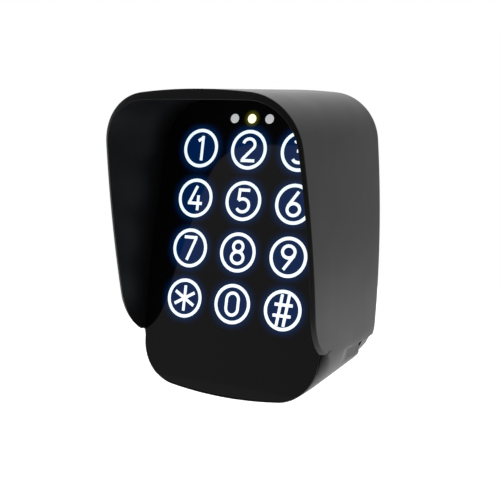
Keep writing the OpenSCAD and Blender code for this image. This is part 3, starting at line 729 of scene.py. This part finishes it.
# %% [markdown]
# ## Rings and numerals
# The legends are clear strokes left in the black print behind the sheet, lit
# by small diodes. A numeral is a pen line: a few straight runs and arcs in a
# box 8 mm tall, given one width. Each line becomes a flat ribbon whose edges
# stand half a width to the left and right of it.

# %% Pen lines of the legends
PITCH_X = 18.2
PITCH_S = 16.9
RING_R = 6.0
RING_W = 1.1
STROKE_W = 1.02
LEGEND_PROUD = 0.02
LEGEND_DEEP = 0.35


def bow(cx, cy, rx, ry, a0, a1, steps=28):
    """An elliptical arc: centre + (rx cos a, ry sin a), angles in degrees."""
    a = np.radians(np.linspace(a0, a1, steps + 1))
    return np.column_stack([cx + rx * np.cos(a), cy + ry * np.sin(a)])


def run(*points):
    """The points of a straight stroke, as an array."""
    return np.array(points, float)


def joined(*lines):
    """One stroke from several lines, end to end."""
    return np.vstack(lines)


six = [joined(run((1.15, 3.95)), bow(-0.02, -1.62, 1.95, 1.95, 152, 152, 0)),
       bow(0, -1.65, 1.86, 1.86, 0, 360, 48)]
nine = [-line for line in six]
LEGENDS = {
    "1": [run((0.55, -3.98), (0.55, 3.98)), run((0.55, 3.45), (-1.15, 2.35))],
    "2": [joined(bow(-0.02, 1.62, 1.82, 1.88, 168, -32), run((-1.72, -3.1))),
          run((-2.2, -3.5), (2.1, -3.5))],
    "3": [bow(-0.1, 1.78, 1.62, 1.72, 150, -90), bow(-0.1, -1.62, 1.9, 1.88, 90, -152),
          run((-0.75, 0.1), (0.0, 0.1))],
    "4": [run((0.35, 3.95), (-1.9, -1.55)), run((-2.35, -1.7), (2.3, -1.7)),
          run((0.95, 0.9), (0.95, -3.98))],
    "5": [run((-1.75, 3.5), (1.85, 3.5)), run((-1.32, 3.1), (-1.48, 0.2)),
          bow(-0.1, -1.4, 1.98, 2.08, 135, -150)],
    "6": six,
    "7": [run((-2.15, 3.5), (2.1, 3.5)), run((1.68, 3.2), (-0.75, -3.98))],
    "8": [bow(0, 1.85, 1.5, 1.62, 0, 360, 48), bow(0, -1.65, 1.86, 1.86, 0, 360, 48)],
    "9": nine,
    "*": [run((0, 0), (3.35 * math.sin(a), 3.35 * math.cos(a)))
          for a in np.radians(np.arange(0, 360, 60))],
    "0": [joined(bow(0, 1.35, 1.86, 2.15, 0, 180), bow(0, -1.35, 1.86, 2.15, 180, 360),
                 run((1.86, 1.35)))],
    "#": [run((-0.45, 3.9), (-1.35, -3.9)), run((1.45, 3.9), (0.55, -3.9)),
          run((-2.35, 1.35), (2.6, 1.35)), run((-2.6, -1.35), (2.35, -1.35))],
}
ORDER = ["1", "2", "3", "4", "5", "6", "7", "8", "9", "*", "0", "#"]
KEYS = [((i % 3 - 1) * PITCH_X, (1.5 - i // 3) * PITCH_S, name) for i, name in enumerate(ORDER)]

# %% Ribbons


def ribbon(line, width, u0, s0, lift):
    """A closed flat slab along a pen line. At a point the side steps are half the width along
    the normal of the mean direction, lengthened by 1/cos of half the bend."""
    closed = np.allclose(line[0], line[-1]) and len(line) > 3
    if closed:
        line = line[:-1]
    ahead = np.roll(line, -1, axis=0) - line
    back = line - np.roll(line, 1, axis=0)
    if not closed:
        ahead[-1], back[0] = back[-1], ahead[0]
    ahead /= np.linalg.norm(ahead, axis=1, keepdims=True)
    back /= np.linalg.norm(back, axis=1, keepdims=True)
    mean = ahead + back
    mean /= np.linalg.norm(mean, axis=1, keepdims=True)
    stretch = 1 / np.clip((mean * ahead).sum(axis=1), 0.5, 1)
    side = np.column_stack([-mean[:, 1], mean[:, 0]]) * (width / 2 * stretch)[:, None]
    left, right = line + side + [u0, s0], line - side + [u0, s0]
    top = LEGEND_PROUD + lift
    levels = [(left, top), (right, top), (right, -LEGEND_DEEP), (left, -LEGEND_DEEP)]
    points = np.stack([from_panel(p[:, 0], p[:, 1], w) for p, w in levels], axis=1)
    faces = band_faces(len(line), 4)
    if not closed:
        faces = faces[:-4] + [[3, 2, 1, 0], [4 * len(line) - 4 + i for i in range(4)]]
    return points.reshape(-1, 3), faces


def gather(parts):
    """Joins points and faces of many small bodies into one list, shifting the face numbers."""
    points, faces, start = [], [], 0
    for p, f in parts:
        points.append(p)
        faces += [[i + start for i in face] for face in f]
        start += len(p)
    return np.vstack(points), faces


ring_line = bow(0, 0, RING_R, RING_R, 0, 360, 72)
rings = [ribbon(ring_line, RING_W, u, s, 0.0) for u, s, _ in KEYS]
WIDEN = {"*": (1.27, 1.27), "#": (1.28, 1.3), "1": (1.0, 1.04)}
strokes = [ribbon(line * WIDEN.get(name, (1.17, 1.03)), STROKE_W, u, s, 0.002 * i)
           for u, s, name in KEYS for i, line in enumerate(LEGENDS[name])]
key_rings = put_mesh("key_light_rings", *gather(rings))
key_numerals = put_mesh("key_numerals", *gather(strokes))
for piece in (key_rings, key_numerals):
    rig.ride(piece, "reader")
    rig.slot(piece, "key_light")
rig.replaces(key_rings, "key_windows")

# %% [markdown]
# ## Indicator lenses
# A light pipe ends in a slightly domed face that stands a hair proud of the
# sheet. It is a profile turned about the pipe's own axis: a straight wall, a
# small round, and a shallow dome whose height falls with the radius squared.

# %% Indicator lenses
INDICATOR_S = 35.6
INDICATOR_PITCH = 6.4
INDICATOR_R = 1.55
DOME_H = 0.12
PIPE_L = 5.0
radius = np.array([INDICATOR_R, INDICATOR_R, 0.96 * INDICATOR_R, 0.8 * INDICATOR_R,
                   0.5 * INDICATOR_R, 0.02])
height = np.array([-PIPE_L, 0.0, 0.05, *(0.05 + DOME_H * (1 - np.array([0.8, 0.5, 0.02]) ** 2))])
for side, name in ((-1, "left"), (0, "middle"), (1, "right")):
    lens_u = side * INDICATOR_PITCH + radius[None, :] * np.cos(around)[:, None]
    lens_s = INDICATOR_S + radius[None, :] * np.sin(around)[:, None]
    lens_points = from_panel(lens_u, lens_s, height[None, :]).reshape(-1, 3)
    rows = len(radius)
    ends = [[k * rows for k in range(TURN_STEPS)][::-1],
            [k * rows + rows - 1 for k in range(TURN_STEPS)]]
    lens = put_mesh("indicator_dome_" + name, lens_points,
                    band_faces(TURN_STEPS, rows, False) + ends, sharp=50)
    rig.ride(lens, "reader")
    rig.replaces(lens, "indicator_lens_" + name)
    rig.slot(lens, "indicator_lit" if side == 0 else "indicator_white")

# %% [markdown]
# ## Finishes
# A finish is named for its material. Each starts from the colour and gloss
# that such a material has, and adds the texture that its making leaves: the
# spark-eroded grain of moulded ABS, the weave under a circuit board's lacquer,
# the drawn lines on a spring wire. Patterns read Object coordinates, which
# are metres here, so a grain of g mm has a noise scale of 1000 / g.

# %% One maker for the plain finishes
finishes = {}
HANDLING_MM = 14


def finish(name, colour, tint, roughness, grain_mm, bump_mm, metallic=0.0, spread=0.08,
           stretch=(1, 1, 1), ior=None, coat=0.0, specular=0.5):
    """Two colours mixed by a noise of the grain's size, the same noise as a bump of bump_mm,
    and a slower noise that moves the roughness by spread, as handling does."""
    material = bpy.data.materials.new(name)
    material.use_nodes = True
    tree = material.node_tree
    tree.nodes.clear()
    place = add(tree, "ShaderNodeTexCoord").outputs["Object"]
    drawn = add(tree, "ShaderNodeMapping", {"Vector": place, "Scale": stretch}).outputs[0]
    grain = add(tree, "ShaderNodeTexNoise", {"Vector": drawn, "Scale": 1000 / grain_mm,
                                             "Detail": 3.0, "Roughness": 0.6}).outputs["Fac"]
    slow = add(tree, "ShaderNodeTexNoise", {"Vector": place, "Scale": 1000 / HANDLING_MM,
                                            "Detail": 2.0}).outputs["Fac"]
    body = add(tree, "ShaderNodeMix", {"Factor": grain, 6: linear(colour), 7: linear(tint)},
               data_type="RGBA")
    gloss = add(tree, "ShaderNodeMapRange", {"Value": slow, "From Min": 0.3, "From Max": 0.7,
                                             "To Min": roughness - spread, "To Max": roughness + spread})
    relief = add(tree, "ShaderNodeBump", {"Height": grain, "Strength": 1.0, "Distance": bump_mm * MM})
    shader = add(tree, "ShaderNodeBsdfPrincipled", {
        "Base Color": body.outputs[2], "Roughness": gloss.outputs[0], "Metallic": metallic,
        "Normal": relief.outputs[0], "Coat Weight": coat, "Specular IOR Level": specular})
    if ior:
        shader.inputs["IOR"].default_value = ior
    add(tree, "ShaderNodeOutputMaterial", {"Surface": shader.outputs[0]})
    finishes[name] = material
    return material


finish("abs_black_grained", "#141416", "#19191b", 0.42, 0.35, 0.004, ior=1.5, spread=0.02,
       specular=0.26)
finish("abs_black_plain", "#161618", "#1b1b1d", 0.4, 0.3, 0.003, ior=1.5, spread=0.03, specular=0.26)
finish("epdm_foam_black", "#141414", "#222222", 0.85, 0.5, 0.06)
finish("polyester_film_clear", "#7c8a72", "#8f9c84", 0.18, 3.0, 0.002)
finish("polycarbonate_white", "#e4e3de", "#efeeea", 0.42, 0.5, 0.004)
finish("epoxy_moulded_black", "#17171a", "#242428", 0.62, 0.12, 0.008)
finish("diode_silicone_yellow", "#e9dc9a", "#f5edc4", 0.35, 0.4, 0.004)
finish("nylon_ivory", "#d9d2bd", "#e5dfcd", 0.45, 0.4, 0.004)
finish("nylon_black", "#202022", "#2b2b2e", 0.5, 0.4, 0.006)
finish("acetal_red", "#a8281c", "#bb3426", 0.32, 0.4, 0.003)
finish("pvc_ribbon_grey", "#85888c", "#9a9da1", 0.45, 1.0, 0.01, stretch=(1, 0.02, 0.02))
finish("steel_zinc_plated", "#b4b6b8", "#cbccce", 0.3, 0.15, 0.003, metallic=1.0)
finish("wire_nickel_plated", "#bdbebd", "#d6d6d4", 0.22, 0.1, 0.002, metallic=1.0)
finish("steel_tinned", "#a9abad", "#c2c3c4", 0.34, 2.0, 0.004, metallic=1.0)
finish("copper_enamelled", "#9a5526", "#b96f38", 0.28, 0.2, 0.02, metallic=1.0, coat=0.6)
finish("pvc_cell_jacket_green", "#2c5a41", "#37684d", 0.3, 6.0, 0.002, coat=0.3)
print(len(finishes), "plain finishes")

# %% [markdown]
# ## Circuit board
# Green lacquer over woven glass: the weave shows as a fine square relief with
# a pitch of half a millimetre, made by two sets of waves at right angles.

# %% Circuit board
board = finish("glass_epoxy_green", "#0c3a22", "#11482b", 0.25, 0.5, 0.002, coat=0.5)
tree = board.node_tree
shader = next(n for n in tree.nodes if n.type == "BSDF_PRINCIPLED")
place = next(n for n in tree.nodes if n.type == "TEX_COORD").outputs["Object"]
WEAVE_MM = 0.5
threads = [add(tree, "ShaderNodeTexWave",
               {"Vector": place, "Scale": 1000 / WEAVE_MM / 20, "Distortion": 0.6},
               bands_direction=axis).outputs["Fac"] for axis in ("X", "Z")]
cloth = add(tree, "ShaderNodeMath", {0: threads[0], 1: threads[1]}, operation="MAXIMUM").outputs[0]
relief = add(tree, "ShaderNodeBump", {"Height": cloth, "Distance": 0.01 * MM})
tree.links.new(relief.outputs[0], shader.inputs["Normal"])

# %% [markdown]
# ## Lit strokes, lenses and the glow in the sheet
# A lit legend is almost white with a trace of blue. Light also leaks sideways
# in the acrylic, so the sheet glows deep blue inside each ring and fades over
# about two millimetres outside it. That glow depends only on the distance
# from the nearest key's middle: the panel's coordinates are wrapped by the
# key pitch and the distance goes through a colour ramp.

# %% Glowing parts


def lit(name, colour, rim_colour, strength, roughness, rim_mm):
    """Emission whose colour drifts with a soft noise of rim_mm, over a smooth clear plastic."""
    material = bpy.data.materials.new(name)
    material.use_nodes = True
    tree = material.node_tree
    tree.nodes.clear()
    place = add(tree, "ShaderNodeTexCoord").outputs["Object"]
    cloud = add(tree, "ShaderNodeTexNoise", {"Vector": place, "Scale": 1000 / rim_mm}).outputs["Fac"]
    shade = add(tree, "ShaderNodeMix", {"Factor": cloud, 6: linear(colour), 7: linear(rim_colour)},
                data_type="RGBA")
    shader = add(tree, "ShaderNodeBsdfPrincipled", {
        "Base Color": shade.outputs[2], "Roughness": roughness, "IOR": 1.49,
        "Emission Color": shade.outputs[2], "Emission Strength": strength})
    add(tree, "ShaderNodeOutputMaterial", {"Surface": shader.outputs[0]})
    finishes[name] = material
    return material


lit("acrylic_lit_icy_white", "#f2fbff", "#e6f4ff", 1.0, 0.25, 3.0)
# The two side pipes are not lit, yet they carry emission as well: a painted glow that makes the milky plastic read
# bright.
lit("light_pipe_milky_white", "#dfe1e2", "#d2d5d7", 0.62, 0.3, 1.5)
lit("light_pipe_lit_yellow", "#ffffd8", "#fffde0", 1.1, 0.3, 1.5)

gloss_black = bpy.data.materials.new("acrylic_gloss_black")
finishes["acrylic_gloss_black"] = gloss_black
gloss_black.use_nodes = True
tree = gloss_black.node_tree
tree.nodes.clear()
place = add(tree, "ShaderNodeTexCoord").outputs["Object"]
flat = add(tree, "ShaderNodeMapping", {"Vector": place, "Location": (0, -GRID_Y * MM, -GRID_Z * MM)})
turned = add(tree, "ShaderNodeMapping", {"Vector": flat.outputs[0], "Rotation": (TILT, 0, 0)})
axes = add(tree, "ShaderNodeSeparateXYZ", {0: turned.outputs[0]}).outputs


def wrapped(value, pitch, offset):
    """Distance from the middle of the nearest key along one axis."""
    shifted = add(tree, "ShaderNodeMath", {0: value, 1: offset * MM}, operation="ADD").outputs[0]
    return add(tree, "ShaderNodeMath", {0: shifted, 1: pitch * MM / 2, 2: -pitch * MM / 2},
               operation="WRAP").outputs[0]


du = wrapped(axes["X"], PITCH_X, 0.0)
ds = wrapped(axes["Z"], PITCH_S, PITCH_S / 2)
offset = add(tree, "ShaderNodeCombineXYZ", {0: du, 1: ds}).outputs[0]
reach = add(tree, "ShaderNodeVectorMath", {0: offset}, operation="LENGTH").outputs["Value"]
GLOW_R = 10.0
part = add(tree, "ShaderNodeMath", {0: reach, 1: 1 / (GLOW_R * MM)}, operation="MULTIPLY").outputs[0]
ramp = add(tree, "ShaderNodeValToRGB", {"Fac": part})
stops = [(0.0, "#001c4a"), (0.42, "#001c48"), (0.52, "#002148"), (0.70, "#00183a"),
         (0.76, "#001230"), (0.82, "#000a1c"), (0.92, "#00000a"), (1.0, "#000000")]
while len(ramp.color_ramp.elements) < len(stops):
    ramp.color_ramp.elements.new(0.5)
for element, (position, colour) in zip(ramp.color_ramp.elements, stops):
    element.position = position
    element.color = linear(colour)


def within(value, half):
    """1 where a coordinate lies nearer than half to the middle, else 0."""
    size = add(tree, "ShaderNodeMath", {0: value}, operation="ABSOLUTE").outputs[0]
    return add(tree, "ShaderNodeMath", {0: size, 1: half * MM}, operation="LESS_THAN").outputs[0]


keys_here = add(tree, "ShaderNodeMath", {0: within(axes["X"], 1.5 * PITCH_X),
                                         1: within(axes["Z"], 2 * PITCH_S)},
                operation="MULTIPLY").outputs[0]
key_glow = add(tree, "ShaderNodeVectorMath", {0: ramp.outputs[0], "Scale": keys_here},
               operation="SCALE").outputs[0]
HALO_MM = 3.2
lamp = add(tree, "ShaderNodeCombineXYZ", {0: 0.0, 1: 0.0, 2: INDICATOR_S * MM}).outputs[0]
to_lamp = add(tree, "ShaderNodeVectorMath", {0: turned.outputs[0], 1: lamp},
              operation="DISTANCE").outputs["Value"]
halo = add(tree, "ShaderNodeMapRange", {"Value": to_lamp, "From Min": INDICATOR_R * MM,
                                        "From Max": HALO_MM * MM, "To Min": 1.0, "To Max": 0.0},
           interpolation_type="SMOOTHSTEP").outputs[0]
lamp_glow = add(tree, "ShaderNodeVectorMath", {0: linear("#3e3e00")[:3], "Scale": halo},
                operation="SCALE").outputs[0]
glow_colour = add(tree, "ShaderNodeVectorMath", {0: key_glow, 1: lamp_glow}, operation="ADD").outputs[0]
SMEAR_MM = 25
smear = add(tree, "ShaderNodeTexNoise", {"Vector": place, "Scale": 1000 / SMEAR_MM,
                                         "Detail": 3.0}).outputs["Fac"]
polish = add(tree, "ShaderNodeMapRange", {"Value": smear, "To Min": 0.045, "To Max": 0.075}).outputs[0]
sheet = add(tree, "ShaderNodeBsdfPrincipled", {
    "Base Color": linear("#0b0b0c"), "Roughness": polish, "IOR": 1.49,
    "Emission Color": glow_colour, "Emission Strength": 1.0})
add(tree, "ShaderNodeOutputMaterial", {"Surface": sheet.outputs[0]})

# %% [markdown]
# ## Handing out the finishes
# Every piece of the record names a slot for its finish. One list says which
# finish fills which slot, and it serves the CAD nodes and the new pieces.

# %% Hand out the finishes
SLOT_FINISH = {
    "housing_plastic": "abs_black_grained", "bracket_plastic": "abs_black_plain",
    "panel_gloss": "acrylic_gloss_black", "key_light": "acrylic_lit_icy_white",
    "indicator_white": "light_pipe_milky_white", "indicator_lit": "light_pipe_lit_yellow",
    "diffuser_white": "polycarbonate_white", "seal_rubber": "epdm_foam_black",
    "film": "polyester_film_clear", "circuit_board": "glass_epoxy_green",
    "chip_black": "epoxy_moulded_black", "led_body": "diode_silicone_yellow",
    "coil_copper": "copper_enamelled", "shield_tin": "steel_tinned",
    "screw_steel": "steel_zinc_plated", "spring_steel": "wire_nickel_plated",
    "connector_ivory": "nylon_ivory", "ribbon_grey": "pvc_ribbon_grey",
    "plunger_red": "acetal_red", "cell_jacket": "pvc_cell_jacket_green", "tray_black": "nylon_black",
}
node_slot = {row["node"]: row["material_slot"] for row in frame["record"]["subparts"]}
dressed = [(nodes[name], slot) for name, slot in node_slot.items()]
dressed += [(piece, piece["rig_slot"]) for piece in bpy.data.objects if piece.get("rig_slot")]
for piece, slot in dressed:
    piece.data.materials.clear()
    piece.data.materials.append(finishes[SLOT_FINISH[slot]])
print(len(dressed), "pieces have a finish")

# %% Write sizes and finish
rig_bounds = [list(corner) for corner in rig.bounds()]
json.dump({"cad": cad_box, "visual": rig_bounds}, open("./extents.json", "w"))
